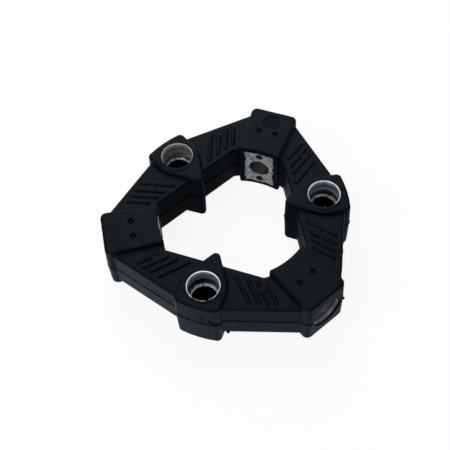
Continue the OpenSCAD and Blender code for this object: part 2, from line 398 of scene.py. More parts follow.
def rib_tips(k):
    """Inner and outer tip of rib k, in plan, on the arm that runs towards +Y."""
    step = RIB_LEAD + (k - 1) * RIB_PITCH if k else 0
    inner = Vector((ARM_INNER + RIB_MARGIN, RIB_START + step))
    along = Vector((cos(RIB_ANGLE), sin(RIB_ANGLE)))
    normal = Vector((cos(ARM_ANGLE), sin(ARM_ANGLE)))
    reach = (ARM_OUTER - RIB_MARGIN - normal.dot(inner)) / normal.dot(along)
    return inner + along * RIB_W / 2, inner + along * (reach - RIB_W / 2)


def rib(k, side, face):
    """A bar with round ends over the two tips of a rib."""
    clear_selection()
    for tip in rib_tips(k):
        place = (tip.x, side * tip.y, face * (ARM_HALF + RIB_H - RIB_R))
        bpy.ops.mesh.primitive_uv_sphere_add(segments=24, ring_count=12, radius=RIB_R, location=place)
        start_edit()
    bpy.ops.mesh.select_all(action="SELECT")
    bpy.ops.mesh.convex_hull()
    return end_edit("rib")


ribs = [rib(k, side, face) for k in range(RIB_COUNT) for side in (1, -1) for face in (1, -1)]
print("ribs on one wing", len(ribs))

# %% [markdown]
# ## One soft moulding
# A third of the ring is now there. It is joined, copied twice round the axis, and melted into one skin
# by a voxel remesh, as a sculptor would do: the overlaps vanish and every inner corner gets a small
# fillet, as rubber has where a cutter rounded the mould. A few passes of smoothing soften the edges, a
# decimate takes the flat faces' spare triangles away, and the ribs are welded on.

# %% Join, repeat and melt
VOXEL = 0.4
TRIANGLES = 120000


def three_times(pieces, name):
    """Join the pieces of one third of the ring, and copy them twice round its axis."""
    gather(pieces)
    bpy.ops.object.mode_set(mode="EDIT")
    bpy.ops.mesh.select_all(action="SELECT")
    for copy in range(2):
        bpy.ops.mesh.duplicate()
        bpy.ops.transform.rotate(value=-2 * SIXTH, orient_axis="Z", center_override=(0, 0, 0))
    bpy.ops.mesh.select_all(action="SELECT")
    bpy.ops.mesh.normals_make_consistent(inside=False)
    return end_edit(name)


ring = three_times([axial_block, radial_block, wing] + webs, "rubber_ring")
apply_modifier(ring, "REMESH", mode="VOXEL", voxel_size=VOXEL)
apply_modifier(ring, "SMOOTH", factor=0.5, iterations=4)
apply_modifier(ring, "DECIMATE", ratio=TRIANGLES / (2 * len(ring.data.polygons)))
combine(ring, three_times(ribs, "ribs"), "UNION")
print("ring faces", len(ring.data.polygons))

# %% [markdown]
# ## The parting line
# The two halves of the mould met at half height. There the rubber crept out as a thin film, which was
# torn off and left a ragged lip over a shallow dark groove, all round the ring. The groove is cut by a
# slab from which slightly smaller copies of the outlines are taken away. The lip is a thin plate over
# each outline, slightly larger, with its rim split into short edges and shaken by a seeded random move.

# %% Groove and torn lip
AXIAL_ANGLES = [2 * SIXTH * k for k in range(3)]
RADIAL_ANGLES = [2 * SIXTH * k + SIXTH for k in range(3)]
LONG = 6 * BLOCK_HALF
GROOVE_DEPTH = 0.35
GROOVE_H = 0.6
LIP_OUT = 0.12
LIP_T = 0.2
LIP_SHAKE = 0.3
LIP_EDGE = 0.9
THICK = 4.0


def flat_hull(posts, grow):
    """Upright prism over posts that are made larger or smaller, in edit mode."""
    clear_selection()
    for x, y, radius in posts:
        bpy.ops.mesh.primitive_cylinder_add(
            vertices=POST_SIDES, radius=radius + grow, depth=THICK, location=(x, y, 0))
        start_edit()
    bpy.ops.mesh.select_all(action="SELECT")
    bpy.ops.mesh.convex_hull()
    bpy.ops.mesh.select_all(action="SELECT")
    bpy.ops.mesh.remove_doubles(threshold=NEAR)
    bpy.ops.mesh.dissolve_limited(angle_limit=NEARLY_FLAT)


def split_rim(longest):
    """Halve the level edges of a prism in edit mode until none is longer than a length."""
    bpy.ops.mesh.select_mode(type="EDGE")
    while True:
        mesh = bmesh.from_edit_mesh(bpy.context.object.data)
        for edge in mesh.edges:
            level = abs(edge.verts[0].co.z - edge.verts[1].co.z) < NEAR
            edge.select_set(level and edge.calc_length() > longest)
        mesh.select_flush_mode()
        if not any(edge.select for edge in mesh.edges):
            return
        bmesh.update_edit_mesh(bpy.context.object.data)
        bpy.ops.mesh.subdivide()


def shaken_hull(posts, grow, edge, shake, seed):
    """Upright prism with a ragged rim of short edges, in edit mode."""
    flat_hull(posts, grow)
    split_rim(edge)
    bpy.ops.mesh.select_all(action="SELECT")
    bpy.ops.transform.vertex_random(offset=shake, seed=seed)


def torn_plate(posts, seed):
    """A thin plate a little larger than an outline, with a ragged rim."""
    shaken_hull(posts, LIP_OUT, LIP_EDGE, LIP_SHAKE, seed)
    bpy.ops.transform.resize(value=(1, 1, LIP_T / THICK), center_override=(0, 0, 0))
    bpy.ops.transform.translate(value=(0, 0, GROOVE_H / 2 + LIP_T / 2))
    return end_edit("torn_plate")


def small_outline(posts):
    """A prism inside an outline, as deep as the groove."""
    flat_hull(posts, -GROOVE_DEPTH)
    return end_edit("small_outline")


OUTLINES = [
    (axial_posts(), AXIAL_ANGLES),
    (radial_posts(), RADIAL_ANGLES),
    (wing_posts(), AXIAL_ANGLES),
]
groove = rod(2 * RADIAL_FACE, GROOVE_H, (0, 0, 0), sides=24)
for posts, angles in OUTLINES:
    combine(groove, gather([turned(small_outline(posts), angle) for angle in angles]), "DIFFERENCE")
combine(ring, groove, "DIFFERENCE")
seed = 0
for posts, angles in OUTLINES:
    plates = []
    for angle in angles:
        seed += 1
        plates.append(turned(torn_plate(posts, seed), angle))
    lips = gather(plates)
    if posts == radial_posts():
        combine(lips, rod(HUB_R, LONG, (0, 0, 0), sides=256), "DIFFERENCE")
    combine(ring, lips, "UNION")
print("ring faces with its parting line", len(ring.data.polygons))

# %% [markdown]
# ## Vent spots, nicks and nubs
# Each arm has a flat round spot where the air left the mould: the rib beside it is cut away, and a disc
# is welded on that leaves a narrow gap to it. The block nearest to the eye was nicked when its film was
# torn off, the walls beside the nose of another block were torn, and three crumbs of film still hang at
# the ring. They are small, but without them the rubber would look too clean.

# %% Vent spots, nicks and nubs
VENT_R = 1.75
VENT_H = 0.6
VENT_GAP = 0.3
VENT_TOOL = 2.0
# Each vent spot: the rib, how far along it from its inner tip, and how far beside it.
VENTS = [(2, 4.0, 0.6), (2, 4.6, 1.2), (1, 10.0, 0.9), (1, 2.5, -0.8), (1, 6.0, -1.2), (1, 10.6, -0.3)]
# Each nick on the front block: angle and height of both ends, and radius.
NICKS = [
    (2.3, 8.6, 3.4, 3.4, 0.5),
    (5.8, 3.9, 9.0, 2.0, 0.7),
    (-10.6, 0.7, -6.2, 0.2, 0.7),
    (8.4, 1.6, 12.0, 0.7, 0.8),
]
# Each tear in an inner wall: the axial block, both ends beside it, and the radius at the first end.
GOUGES = [(2, (4.2, 0.9), (14.5, -0.3), 1.4), (2, (-4.0, 0.5), (-3.6, 7.5), 1.1)]
GOUGE_TAPER = 0.25
# Each crumb: sixth of the ring, radius, distance aside, height and size.
NUBS = [(0, 46.0, 12.2, -10.2, 0.8), (1, 58.3, 9.6, 0.5, 0.7), (5, 58.0, -10.3, 0.4, 0.8)]
NUB_FLATTEN = 0.7


def polar(radius, angle, aside=0.0, z=0.0):
    """Place at a radius and an angle about the ring's axis, moved sideways from that radius."""
    return Vector((radius * cos(angle) - aside * sin(angle), radius * sin(angle) + aside * cos(angle), z))


def vent_place(arm):
    """Place of the vent spot on an arm, counted as both arms of each axial block in turn."""
    rib_number, along, beside = VENTS[arm]
    tip = rib_tips(rib_number)[0]
    x = tip.x + along * cos(RIB_ANGLE) - beside * sin(RIB_ANGLE)
    y = tip.y + along * sin(RIB_ANGLE) + beside * cos(RIB_ANGLE)
    return polar(x, AXIAL_ANGLES[arm // 2], y if arm % 2 == 0 else -y, ARM_HALF)


def nick_cutter(angle_a, z_a, angle_b, z_b, radius):
    """A thin rod that lies along a nick on the front block's bowed face."""
    ends = [polar(AXIAL_OUTER_R, radians(a), z=z) for a, z in ((angle_a, z_a), (angle_b, z_b))]
    way = ends[1] - ends[0]
    return rod(radius, way.length, (ends[0] + ends[1]) / 2, way, sides=10)


def gouge_cutter(block, start, end, radius):
    """A tapered pin along a tear in an inner wall, between two places (aside, height) beside a block."""
    ends = [polar(ARM_INNER, AXIAL_ANGLES[block], aside, z) for aside, z in (start, end)]
    way = ends[1] - ends[0]
    clear_selection()
    bpy.ops.mesh.primitive_cone_add(
        vertices=12, radius1=radius, radius2=radius * GOUGE_TAPER, depth=way.length,
        location=(ends[0] + ends[1]) / 2, rotation=way.to_track_quat("Z", "Y").to_euler())
    bpy.ops.object.transform_apply()
    return bpy.context.object


def nub(sixth, radius, aside, z, size):
    """A crumb of torn film: a small ball, pulled flat."""
    clear_selection()
    bpy.ops.mesh.primitive_uv_sphere_add(
        segments=16, ring_count=8, radius=size, location=polar(radius, sixth * SIXTH, aside, z))
    bpy.context.object.scale = (1, 1, NUB_FLATTEN)
    bpy.ops.object.transform_apply()
    return bpy.context.object


up = Vector((0, 0, 1))
spots = [vent_place(arm) for arm in range(len(VENTS))]
rings = [rod(VENT_R + VENT_GAP, VENT_TOOL, spot + up * (VENT_TOOL / 2 - VENT_GAP)) for spot in spots]
combine(ring, gather(rings), "DIFFERENCE")
discs = [rod(VENT_R, VENT_TOOL, spot + up * (VENT_H - VENT_TOOL / 2)) for spot in spots]
combine(ring, gather(discs), "UNION")
tears = [nick_cutter(*nick) for nick in NICKS] + [gouge_cutter(*gouge) for gouge in GOUGES]
combine(ring, gather(tears), "DIFFERENCE")
combine(ring, gather([nub(*crumb) for crumb in NUBS]), "UNION")
print("vent spots", len(spots), "tears", len(tears), "nubs", len(NUBS))

# %% [markdown]
# ## Seats, pits and the round mark
# The bushes were laid in the mould, so the rubber ends exactly on their outsides. Those seats are cut
# with tools of the bushes' own size. Pins held the inner bushes while the rubber flowed round them, and
# left two small pits on both ends of each radial block, with the hollow of the pin's tip as a low dome
# in each. One block has a plain round mark from an insert in the mould. A torn film of rubber still
# lies on the outer part of each bush's end, so the bright metal there is a thin and uneven ring.

# %% Cut the seats
FOOT_W = 14.2
FOOT_H = 21.4
FOOT_T = 3.0
FOOT_ROUND = 1.2
PIT_R = 1.4
PIT_DEPTH = 1.2
PIT_PLACE = 45.3
PIT_OFFSET = 3.85
DOME_R = 1.2
DOME_RISE = 1.0
MARK_R = 4.0
MARK_PLACE = 52.0
MARK_DEPTH = 0.25
FILM_T = 0.07
FILM_FOOT = 1.0
FILM_SLOPE = 0.7
FILM_HOLE = 7.2
FILM_EDGE = 1.2
FILM_SHAKE = 0.16
FILM_LEANS = [0.22, 0.3, 0.45]
FILM_SEED = 20
FILM_LEAN_ANGLE = radians(200)
MOUTH_FILM_T = 0.5
MOUTH_FILM_HOLE = 7.3
MOUTH_FILM_SHAKE = 0.45
MOUTH_FILM_SEED = 30
RING_CREASE = radians(40)


def foot_block(front, back):
    """The foot plate's outline along +X, a slab with round corners."""
    clear_selection()
    bpy.ops.mesh.primitive_cube_add(
        size=1, location=((front + back) / 2, 0, 0), scale=(back - front, FOOT_W, FOOT_H))
    start_edit()
    bpy.ops.mesh.select_mode(type="EDGE")
    mesh = bmesh.from_edit_mesh(bpy.context.object.data)
    for edge in mesh.edges:
        edge.select_set(abs(edge.verts[0].co.x - edge.verts[1].co.x) > NEAR)
    mesh.select_flush_mode()
    bmesh.update_edit_mesh(bpy.context.object.data)
    bpy.ops.mesh.bevel(offset=FOOT_ROUND, segments=6, affect="EDGES")
    return end_edit("foot_block")


def pit_dome(place, face):
    """The low dome at the bottom of a pit."""
    clear_selection()
    bottom = face * (BLOCK_HALF - PIT_DEPTH + DOME_RISE - DOME_R)
    bpy.ops.mesh.primitive_uv_sphere_add(
        segments=24, ring_count=12, radius=DOME_R, location=place + up * bottom)
    bpy.ops.object.transform_apply()
    return bpy.context.object


def bush_film(angle, lean, seed):
    """Torn film that climbs from the rubber over the rim of an axial bush."""
    middle = polar(PITCH_R, angle)
    rim = axial_high.z / MM - PARTING_Z
    clear_selection()
    bpy.ops.mesh.primitive_cone_add(
        vertices=128, radius1=BUSH_R + FILM_FOOT, radius2=BUSH_R + FILM_FOOT - FILM_SLOPE,
        depth=2 * (rim + FILM_T - AXIAL_UP), location=middle + up * AXIAL_UP)
    bpy.ops.object.transform_apply()
    film = bpy.context.object
    combine(film, rod(BUSH_R, LONG, middle + up * (rim - LONG / 2), sides=128), "DIFFERENCE")
    hole = middle + polar(lean, FILM_LEAN_ANGLE)
    shaken_hull([(hole.x, hole.y, FILM_HOLE)], 0, FILM_EDGE, FILM_SHAKE, seed)
    bpy.ops.transform.translate(value=(0, 0, rim))
    combine(film, end_edit("film_hole"), "DIFFERENCE")
    return film


def mouth_film(angle, seed):
    """Torn film inside the mouth of a radial block, in front of the barrel's end."""
    film = rod(BUSH_R + FILM_FOOT, MOUTH_FILM_T, (0, 0, BARREL_END + MOUTH_FILM_T / 2), sides=128)
    shaken_hull([(0, 0, MOUTH_FILM_HOLE)], 0, FILM_EDGE / 2, MOUTH_FILM_SHAKE, seed)
    bpy.ops.transform.translate(value=(0, 0, BARREL_END))
    combine(film, end_edit("mouth_hole"), "DIFFERENCE")
    take(film)
    film.rotation_euler = (0, pi / 2, 0)
    bpy.ops.object.transform_apply()
    return turned(film, angle)


BARREL_END = -radial_low.x / MM
BARREL_ROOT = HUB_R + FOOT_T / 2
axial_seats = [rod(BUSH_R, LONG, polar(PITCH_R, angle), sides=128) for angle in AXIAL_ANGLES]
radial_seats = [rod(BUSH_R, LONG, polar(BARREL_ROOT + LONG / 2, angle), polar(1, angle), sides=128)
                for angle in RADIAL_ANGLES]
foot_seats = [turned(foot_block(HUB_R - FOOT_T, HUB_R + FOOT_T), angle) for angle in RADIAL_ANGLES]
for seats in (axial_seats, radial_seats, foot_seats):
    combine(ring, gather(seats), "DIFFERENCE")
pits = [(polar(PIT_PLACE, angle, aside), face)
        for angle in RADIAL_ANGLES for aside in (-PIT_OFFSET, PIT_OFFSET) for face in (1, -1)]
pit_cutters = [rod(PIT_R, 2 * PIT_DEPTH, place + up * face * BLOCK_HALF, sides=32) for place, face in pits]
combine(ring, gather(pit_cutters), "DIFFERENCE")
combine(ring, gather([pit_dome(place, face) for place, face in pits]), "UNION")
films = [bush_film(angle, FILM_LEANS[k], FILM_SEED + k) for k, angle in enumerate(AXIAL_ANGLES)]
films += [mouth_film(angle, MOUTH_FILM_SEED + k) for k, angle in enumerate(RADIAL_ANGLES)]
combine(ring, gather(films), "UNION")
mark_centre = polar(MARK_PLACE, RADIAL_ANGLES[1], z=BLOCK_HALF)
combine(ring, rod(MARK_R, 2 * MARK_DEPTH, mark_centre), "DIFFERENCE")
ring = one_skin(ring)
take(ring)
bpy.ops.object.shade_smooth_by_angle(angle=RING_CREASE)
to_frame(ring)
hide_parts("rubber_body")
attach(ring, "root")
print("ring triangles", sum(len(face.vertices) - 2 for face in ring.data.polygons))

# %% [markdown]
# ## Axial bushes
# Each axial bush is a sleeve turned on a lathe, with a sunk seat for a socket head screw. A lathe part
# is half of its section, spun once round. The section starts as a plane, is split where the seat
# begins, loses the corner that the seat takes away, and has its corners broken by a small chamfer
# before it is spun.

# %% Turn the axial bushes
AXIAL_LENGTH = (axial_high.z - axial_low.z) / MM
AXIAL_BASE = axial_low.z / MM - PARTING_Z
AXIAL_HOLE_R = 4.7
AXIAL_SEAT_R = 6.75
AXIAL_SEAT_DEPTH = 9.6
CHAMFER = 0.3
HOLE_CHAMFER = 0.75
SPIN_STEPS = 128
BUSH_CREASE = radians(30)


def lathe_section():
    """Half section of the sleeve in the XZ plane, in edit mode: a plane, split and trimmed."""
    clear_selection()
    middle = ((AXIAL_HOLE_R + BUSH_R) / 2, 0, AXIAL_BASE + AXIAL_LENGTH / 2)
    bpy.ops.mesh.primitive_plane_add(size=1, location=middle, rotation=(pi / 2, 0, 0))
    bpy.context.object.scale = (BUSH_R - AXIAL_HOLE_R, AXIAL_LENGTH, 1)
    start_edit()
    ledge = AXIAL_BASE + AXIAL_LENGTH - AXIAL_SEAT_DEPTH
    for point, normal in (((0, 0, ledge), (0, 0, 1)), ((AXIAL_SEAT_R, 0, 0), (1, 0, 0))):
        bpy.ops.mesh.select_all(action="SELECT")
        bpy.ops.mesh.bisect(plane_co=point, plane_no=normal)
    bpy.ops.mesh.select_mode(type="FACE")
    mesh = bmesh.from_edit_mesh(bpy.context.object.data)
    for face in mesh.faces:
        centre = face.calc_center_median()
        face.select_set(centre.x < AXIAL_SEAT_R and centre.z > ledge)
    bmesh.update_edit_mesh(bpy.context.object.data)
    bpy.ops.mesh.delete(type="FACE")
    bpy.ops.mesh.select_all(action="SELECT")
    bpy.ops.mesh.dissolve_limited(angle_limit=NEARLY_FLAT)


def break_corners(low_z, high_z, largest_x, offset):
    """Chamfer the corners of the section that lie in a range, in edit mode."""
    bpy.ops.mesh.select_mode(type="VERT")
    mesh = bmesh.from_edit_mesh(bpy.context.object.data)
    for vert in mesh.verts:
        vert.select_set(low_z < vert.co.z < high_z and vert.co.x < largest_x)
    mesh.select_flush_mode()
    bmesh.update_edit_mesh(bpy.context.object.data)
    bpy.ops.mesh.bevel(offset=offset, segments=2, affect="VERTICES", offset_type="OFFSET")


def spin_section(name):
    """Spin the section once round the Z axis and close it to a solid."""
    bpy.ops.mesh.select_all(action="SELECT")
    bpy.ops.mesh.delete(type="ONLY_FACE")
    bpy.ops.mesh.select_all(action="SELECT")
    bpy.ops.mesh.spin(steps=SPIN_STEPS, angle=2 * pi, center=(0, 0, 0), axis=(0, 0, 1))
    bpy.ops.mesh.select_all(action="SELECT")
    bpy.ops.mesh.remove_doubles(threshold=NEAR / 10)
    bpy.ops.mesh.normals_make_consistent(inside=False)
    return end_edit(name)


def finish_bush(piece, node):
    """Shade a bush, bring it to the frame and let it stand for its node."""
    take(piece)
    bpy.ops.object.shade_smooth_by_angle(angle=BUSH_CREASE)
    to_frame(piece)
    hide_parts(node)
    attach(piece, "root")


axial_bushes = []
for k, angle in enumerate(AXIAL_ANGLES):
    lathe_section()
    seat_floor = AXIAL_BASE + AXIAL_LENGTH - AXIAL_SEAT_DEPTH
    break_corners(seat_floor - NEAR, seat_floor + NEAR, AXIAL_HOLE_R + NEAR, HOLE_CHAMFER)
    break_corners(seat_floor + 1, LONG, LONG, CHAMFER)
    break_corners(-LONG, seat_floor - 1, LONG, CHAMFER)
    sleeve = spin_section(f"axial_sleeve_{k + 1}")
    sleeve.location = polar(PITCH_R, angle)
    bpy.ops.object.transform_apply()
    finish_bush(sleeve, f"axial_bush_{k + 1}")
    axial_bushes.append(sleeve)
print("faces of a sleeve", len(axial_bushes[0].data.polygons))

# %% [markdown]
# ## Radial bushes
# A radial bush is a barrel on a foot plate. The foot plate is hollow, because it rests on a round hub,
# and has two pin holes beside the screw's hole. The barrel's seat is open to the outside. It is built
# like the real one is machined: a blank of rod and slab, then the hub's curve, the holes and the seat
# cut out of it.

# %% Machine the radial bushes
RADIAL_SEAT = 9.0
PIN_R = 1.7
PIN_OFFSET = 8.0
PIN_DEPTH = 2.2


def radial_bush(name):
    """A radial bush along +X, before it is turned to its place."""
    ledge = HUB_R + RADIAL_SEAT
    x_way = (1, 0, 0)
    piece = rod(BUSH_R, BARREL_END - BARREL_ROOT, ((BARREL_END + BARREL_ROOT) / 2, 0, 0), x_way, sides=128)
    combine(piece, foot_block(HUB_R - FOOT_T, HUB_R + FOOT_T), "UNION")
    combine(piece, rod(HUB_R, LONG, (0, 0, 0), sides=512), "DIFFERENCE")
    combine(piece, rod(AXIAL_HOLE_R, LONG, (HUB_R, 0, 0), x_way), "DIFFERENCE")
    combine(piece, rod(AXIAL_SEAT_R, LONG, (ledge + LONG / 2, 0, 0), x_way, sides=128), "DIFFERENCE")
    for z in (-PIN_OFFSET, PIN_OFFSET):
        combine(piece, rod(PIN_R, 2 * PIN_DEPTH, (HUB_R, 0, z), x_way, sides=48), "DIFFERENCE")
    piece = one_skin(piece)
    piece.name = name
    return piece


radial_bushes = []
for k, angle in enumerate(RADIAL_ANGLES):
    barrel = turned(radial_bush(f"radial_barrel_{k + 1}"), angle)
    finish_bush(barrel, f"radial_bush_{k + 1}")
    radial_bushes.append(barrel)
print("faces of a barrel", len(radial_bushes[0].data.polygons))

# %% [markdown]
# ## Finishes
# One small function adds a node with its settings and links, and one turns a colour as it is seen on a
# screen into the linear value that a shader needs. Patterns read Object coordinates, in metres, so a
# scale is one over a real size.

# %% Node helpers
def linear(hex_colour):
    """sRGB hex colour as a linear RGBA value."""
    parts = [int(hex_colour[k:k + 2], 16) / 255 for k in (1, 3, 5)]
    return tuple(v / 12.92 if v <= 0.04045 else ((v + 0.055) / 1.055) ** 2.4 for v in parts) + (1.0,)


def add_node(tree, kind, inputs=None, **settings):
    """Add a node, set its properties, and feed its inputs with values or other nodes' sockets."""
    made = tree.nodes.new(kind)
    for name, value in settings.items():
        setattr(made, name, value)
    for key, value in (inputs or {}).items():
        if isinstance(value, bpy.types.NodeSocket):
            tree.links.new(value, made.inputs[key])
        else:
            made.inputs[key].default_value = value
    return made


def new_material(name):
    """An empty node material and its output node."""
    material = bpy.data.materials.new(name)
    material.use_nodes = True
    material.node_tree.nodes.clear()
    return material.node_tree, material, material.node_tree.nodes.new("ShaderNodeOutputMaterial")


def dress(pieces, material):
    """Give pieces one material."""
    for piece in pieces:
        piece.data.materials.clear()
        piece.data.materials.append(material)


print("middle grey in linear light", round(linear("#808080")[0], 3))

# %% [markdown]
# ## Moulded rubber
# Carbon-black rubber from a steel mould: a deep, slightly blue black. Its skin is fairly smooth but
# reflects little, so only the round edges and the ribs catch the lamps. A soft mottle comes from the
# wax that blooms on it, the grain is the mould's, a few pale specks of dust cling to it, and the round
# mark is rougher and darker.

# %% Moulded rubber
# Noise patterns: size in millimetres and detail.
MOTTLE = (9.0, 4.0)
GRAIN = (0.35, 2.0)
CRUMB = (0.9, 3.0)
# Real dust is a few hundredths of a millimetre across. It is drawn coarser here, so that it shows.
SPECK_SPACING = 1.3
SPECK_SIZE = 0.13
SPECK_SHARE = 0.1
SPECK_TONE = "#474e56"
RUBBER_TONES = ("#05080a", "#090c10")
RUBBER_ROUGHNESS = (0.3, 0.42)
RUBBER_IOR = 1.5
RUBBER_SPECULAR = 0.055
RUBBER_GLOSS_TINT = "#c2ddff"
GRAIN_STRENGTH = 0.12
GRAIN_HEIGHT = 0.1
MARK_FRAY = 1.0
MARK_TONES = ("#020304", "#161b20")
MARK_ROUGHER = 0.4
MARK_RUGGED = 20.0


def dusty_black(tree, place, mottle):
    """Socket for the skin's colour: two near-blacks in a soft mottle, with a few pale specks of dust."""
    tone = add_node(tree, "ShaderNodeMix", {
        "Factor": mottle, "A": linear(RUBBER_TONES[0]), "B": linear(RUBBER_TONES[1])}, data_type="RGBA")
    cells = add_node(tree, "ShaderNodeTexVoronoi", {"Vector": place, "Scale": 1 / (SPECK_SPACING * MM)})
    dot = add_node(tree, "ShaderNodeMath", {
        0: cells.outputs["Distance"], 1: SPECK_SIZE}, operation="LESS_THAN")
    pick = add_node(tree, "ShaderNodeSeparateColor", {"Color": cells.outputs["Color"]})
    chosen = add_node(tree, "ShaderNodeMath", {
        0: pick.outputs["Red"], 1: SPECK_SHARE}, operation="LESS_THAN")
    speck = add_node(tree, "ShaderNodeMath", {
        0: dot.outputs[0], 1: chosen.outputs[0]}, operation="MULTIPLY")
    dusty = add_node(tree, "ShaderNodeMix", {
        "Factor": speck.outputs[0], "A": tone.outputs["Result"], "B": linear(SPECK_TONE)}, data_type="RGBA")
    return dusty.outputs["Result"]


def mark_mask(tree, place, crumb):
    """Socket that is 1 on the round mark and falls to 0 over a frayed edge."""
    centre = mark_centre * MM + Vector((0, 0, PARTING_Z * MM))
    from_mark = add_node(tree, "ShaderNodeVectorMath", {0: place, 1: centre}, operation="DISTANCE")
    frayed = add_node(tree, "ShaderNodeMath", {
        0: crumb, 1: MARK_FRAY * MM, 2: from_mark.outputs["Value"]}, operation="MULTIPLY_ADD")
    marked = add_node(tree, "ShaderNodeMapRange", {
        "Value": frayed.outputs[0], "From Min": (MARK_R + MARK_FRAY) * MM,
        "From Max": (MARK_R + MARK_FRAY / 2) * MM})
    return marked.outputs["Result"]


def moulded_rubber():
    """Near-black rubber with a soft mottle, the mould's fine grain, dust and a rough round mark."""
    tree, material, output = new_material("moulded_rubber")
    place = add_node(tree, "ShaderNodeTexCoord").outputs["Object"]
    mottle, grain, crumb = (
        add_node(tree, "ShaderNodeTexNoise", {
            "Vector": place, "Scale": 1 / (size * MM), "Detail": detail}).outputs["Fac"]
        for size, detail in (MOTTLE, GRAIN, CRUMB))
    marked = mark_mask(tree, place, crumb)
    torn = add_node(tree, "ShaderNodeMix", {
        "Factor": crumb, "A": linear(MARK_TONES[0]), "B": linear(MARK_TONES[1])}, data_type="RGBA")
    colour = add_node(tree, "ShaderNodeMix", {
        "Factor": marked, "A": dusty_black(tree, place, mottle), "B": torn.outputs["Result"]},
        data_type="RGBA")
    skin = add_node(tree, "ShaderNodeMapRange", {
        "Value": mottle, "To Min": RUBBER_ROUGHNESS[0], "To Max": RUBBER_ROUGHNESS[1]})
    rough = add_node(tree, "ShaderNodeMath", {
        0: marked, 1: MARK_ROUGHER, 2: skin.outputs["Result"]}, operation="MULTIPLY_ADD")
    deep = add_node(tree, "ShaderNodeMath", {0: crumb, 1: MARK_RUGGED}, operation="MULTIPLY")
    rugged = add_node(tree, "ShaderNodeMix", {"Factor": marked, "A": grain, "B": deep.outputs[0]})
    bump = add_node(tree, "ShaderNodeBump", {
        "Height": rugged.outputs["Result"], "Strength": GRAIN_STRENGTH, "Distance": GRAIN_HEIGHT * MM})
    shader = add_node(tree, "ShaderNodeBsdfPrincipled", {
        "Base Color": colour.outputs["Result"], "Roughness": rough.outputs[0],
        "Normal": bump.outputs["Normal"], "IOR": RUBBER_IOR, "Specular IOR Level": RUBBER_SPECULAR,
        "Specular Tint": linear(RUBBER_GLOSS_TINT)})
    tree.links.new(shader.outputs["BSDF"], output.inputs["Surface"])
    return material


dress([ring], moulded_rubber())
print("moulded rubber on the ring")

# %% [markdown]
# ## Turned and milled aluminium
# The bushes came off a lathe: fine rings run round them, so the pattern depends on the distance along
# the bush's own axis and from it. The wall of a screw's seat is bright at its mouth and painted darker
# towards its floor, as painted shade of the deep seat; the floor is bright again, and the narrow hole is
# painted dark, as painted shade. The foot plates were milled, so straight lines run aslant over them,
# with scuffs and stains, pin holes in a darker painted shade, and a torn black film of rubber along
# their edges.

# %% Patterns on a bush
# Turning and milling lines are really about a tenth of a millimetre apart. They are drawn coarser here, so
# that they show.
TURN_LINE = 2.2
MILL_LINE = 0.9
MILL_SLOPE = -0.7
STAIN = 2.0
METAL_DETAIL = 3.0


def bush_patterns(tree, angle, upright):
    """Sockets for the distances along and from a bush's axis, and for its lines and stains."""
    place = add_node(tree, "ShaderNodeTexCoord").outputs["Object"]
    shift = (-PITCH_R * MM, 0, 0) if upright else (0, 0, -PARTING_Z * MM)
    local = add_node(tree, "ShaderNodeMapping", {
        "Vector": place, "Rotation": (0, 0, -angle), "Location": shift})
    apart = add_node(tree, "ShaderNodeSeparateXYZ", {"Vector": local.outputs["Vector"]})
    axis, other = ("Z", "X") if upright else ("X", "Z")
    across = add_node(tree, "ShaderNodeCombineXYZ", {"X": apart.outputs[other], "Y": apart.outputs["Y"]})
    radius = add_node(tree, "ShaderNodeVectorMath", {0: across.outputs["Vector"]}, operation="LENGTH")
    run = add_node(tree, "ShaderNodeMath", {
        0: radius.outputs["Value"], 1: apart.outputs[axis]}, operation="ADD")
    sweep = add_node(tree, "ShaderNodeMath", {
        0: apart.outputs["Y"], 1: MILL_SLOPE, 2: apart.outputs["Z"]}, operation="MULTIPLY_ADD")
    rings, lines = (
        add_node(tree, "ShaderNodeTexNoise", {
            "W": way.outputs[0], "Scale": 1 / (size * MM), "Detail": METAL_DETAIL}, noise_dimensions="1D")
        for way, size in ((run, TURN_LINE), (sweep, MILL_LINE)))
    stain = add_node(tree, "ShaderNodeTexNoise", {
        "Vector": place, "Scale": 1 / (STAIN * MM), "Detail": METAL_DETAIL})
    return {
        "apart": apart, "along": apart.outputs[axis], "radius": radius.outputs["Value"],
        "rings": rings.outputs["Fac"], "lines": lines.outputs["Fac"], "stain": stain.outputs["Fac"]}


print("turning lines", TURN_LINE, "mm and milling lines", MILL_LINE, "mm")

# %% [markdown]
# ## Walls, flats and foot plates
# A seat's wall, a flat end and a foot plate each get their own colour, from the same few patterns. A
# colour ramp over the seat's depth goes from a dark foot, which is painted shade, to the bright rim.
# The three seats that face up each have their own share of that painted shade and their own tones.

# %% Colours on a bush
# Painted shade: a seat's wall is painted darker towards its floor, down to this tone.
SEAT_SHADE_TONE = "#241d19"
SEAT_SHADE_FADE = 0.2
RIM_TONE = "#c9cdd1"
RIM_START = 0.94
RIM_FULL = 0.97
STREAK_RANGE = (0.38, 0.58)
BLOTCH_RANGE = (0.35, 0.6)
BLOTCH_FAINTEST = 0.7
SCUFF_RANGE = (0.8, 1.15)
SKIN = 0.08
# Painted shade: the pin holes in a foot plate are painted this darker tone.
PIN_SHADE_TONE = "#5c5955"
EDGE_FILM = 1.0
EDGE_FILM_RANGE = (0.4, 0.65)
EDGE_FILM_TONE = "#050607"


